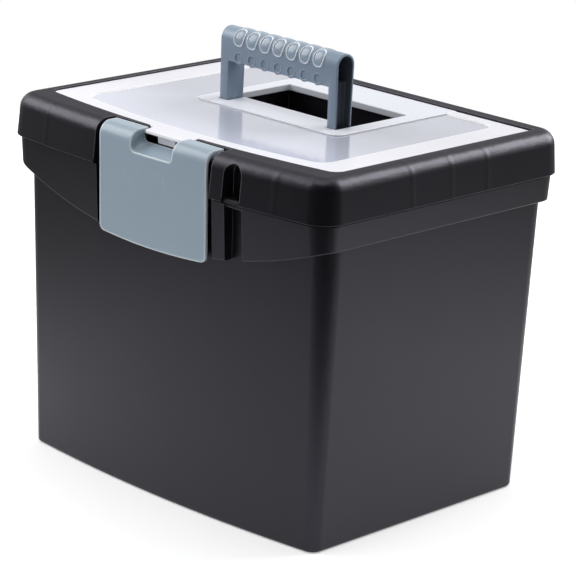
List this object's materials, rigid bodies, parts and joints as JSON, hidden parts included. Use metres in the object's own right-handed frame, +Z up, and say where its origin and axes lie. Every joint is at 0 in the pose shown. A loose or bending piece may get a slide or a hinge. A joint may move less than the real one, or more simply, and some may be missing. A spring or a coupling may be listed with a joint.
{
  "type": "portable file box",
  "caption": "Portable file box for letter-size hanging folders: bow-fronted tub, hinged lid with a flip-up cover over an organiser, front latch and a fold-down carrying handle.",
  "frame": {"origin": "on the standing face, midway between the left and right sides and between the lid's front and rear corners", "axes": "+Z up, -Y the bowed front with the latch, +X the right-hand side seen from the front"},
  "size_m": [0.3366, 0.2764, 0.3378],
  "materials": {
    "body_plastic": "fine satin grain",
    "lid_plastic": "satin, a little glossier than the tub",
    "cover_plastic": "translucent pale, frosted rim and glossy panel",
    "plate_plastic": "frosted pale grey",
    "handle_plastic": "satin blue-grey",
    "latch_plastic": "satin blue-grey",
    "pin_steel": "drawn wire"
  },
  "bodies": {
    "tub": {"tub": "body_plastic", "hinge_pin_left": "pin_steel", "hinge_pin_right": "pin_steel"},
    "lid": {"lid": "lid_plastic", "organiser": "lid_plastic", "handle_plate": "plate_plastic"},
    "cover": {"cover": "cover_plastic"},
    "handle": {"handle": "handle_plastic"},
    "latch": {"latch": "latch_plastic"}
  },
  "joints": [
    {"name": "lid_hinge", "type": "hinge", "parent": "tub", "child": "lid", "pos_m": [0, 0.13425, 0.2495], "axis": [-1, 0, 0], "range_deg": [0, 105]},
    {"name": "cover_hinge", "type": "hinge", "parent": "lid", "child": "cover", "pos_m": [0, 0.1058, 0.2788], "axis": [-1, 0, 0], "range_deg": [0, 95]},
    {"name": "handle_pivot", "type": "hinge", "parent": "lid", "child": "handle", "pos_m": [0, -0.0021, 0.2695], "axis": [-1, 0, 0], "range_deg": [0, 90]},
    {"name": "latch_pivot", "type": "hinge", "parent": "lid", "child": "latch", "pos_m": [0, -0.1235, 0.2775], "axis": [-1, 0, 0], "range_deg": [0, 85]}
  ]
}
